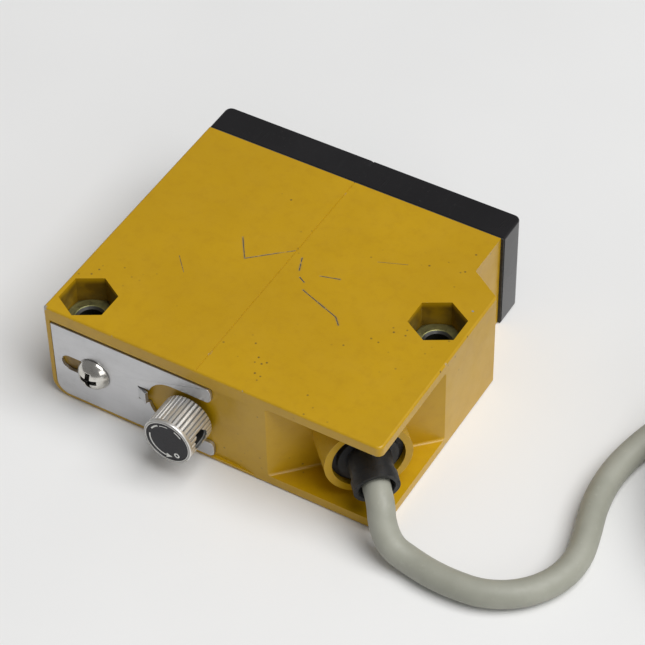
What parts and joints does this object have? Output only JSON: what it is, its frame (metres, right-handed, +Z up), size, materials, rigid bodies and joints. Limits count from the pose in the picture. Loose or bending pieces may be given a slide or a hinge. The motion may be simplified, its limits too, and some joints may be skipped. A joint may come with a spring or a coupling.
{
  "type": "flat photoelectric sensor",
  "caption": "Flat yellow die-cast photoelectric sensor with a black optical window, a knurled sensitivity knob with a sliding lock plate, hexagonal nut pockets and a corner cable outlet.",
  "frame": {"origin": "centre of the case's flat bottom face, on the table it lies on", "axes": "+X to the right along the knob side, +Y from the knob side towards the optical window, +Z up out of the wide face with the nut pockets"},
  "size_m": [0.1641, 0.0842, 0.019],
  "materials": {
    "yellow_paint": "worn satin paint",
    "window_black": "glossy, infrared-transparent",
    "gasket_rubber": "soft",
    "nut_chromate": "yellow chromated steel",
    "sheet_steel": "brushed along its length",
    "screw_nickel": "bright nickel plated",
    "screw_black": "black oxide",
    "knob_nickel": "nickel plated, knurled",
    "dial_black": "printed with white arcs",
    "gland_rubber": "moulded",
    "cable_jacket": "grey PVC",
    "lens_clear": "polished",
    "carrier_black": "moulded",
    "led_clear": "polished epoxy",
    "diode_black": "daylight filter epoxy",
    "tinplate": "tinned",
    "board_green": "solder mask",
    "chip_black": "moulded",
    "capacitor_sleeve": "sleeved",
    "pot_blue": "moulded",
    "shaft_brass": "turned",
    "clamp_brass": "pressed",
    "core_brown": "insulation",
    "core_blue": "insulation",
    "core_black": "insulation",
    "ferrule_tin": "tinned copper",
    "tie_black": "nylon strap"
  },
  "bodies": {
    "case": {"housing": "yellow_paint", "optical_window": "window_black", "window_gasket": "gasket_rubber", "mounting_nuts": "nut_chromate", "lock_plate_screw": "screw_nickel", "potentiometer_body": "pot_blue", "shaft_seal": "gasket_rubber", "optics_block": "carrier_black", "emitter_lens": "lens_clear", "receiver_lens": "lens_clear", "emitter_led": "led_clear", "photodiode": "diode_black", "receiver_shield": "tinplate", "main_board": "board_green", "board_screws": "screw_nickel", "control_chip": "chip_black", "output_transistor": "chip_black", "capacitors": "capacitor_sleeve", "cable_gland": "gland_rubber", "cable_entry": "cable_jacket", "cable_clamp": "clamp_brass", "wire_brown": "core_brown", "wire_blue": "core_blue", "wire_black": "core_black", "cable": "cable_jacket", "cable_coil": "cable_jacket", "coil_tie": "tie_black", "lead_brown": "core_brown", "lead_blue": "core_blue", "lead_black": "core_black", "wire_ferrules": "ferrule_tin"},
    "lock_plate": {"lock_plate": "sheet_steel"},
    "knob": {"knob": "knob_nickel", "knob_disc": "dial_black", "knob_set_screw": "screw_black", "adjuster_shaft": "shaft_brass", "wiper": "pot_blue"}
  },
  "joints": [
    {"name": "knob_turn", "type": "hinge", "parent": "case", "child": "knob", "pos_m": [-0.00365, -0.0303, 0.00855], "axis": [0, 1, 0], "range_deg": [-135, 135]},
    {"name": "lock_slide", "type": "slide", "parent": "case", "child": "lock_plate", "axis": [1, 0, 0], "range_m": [0, 0.003]}
  ]
}
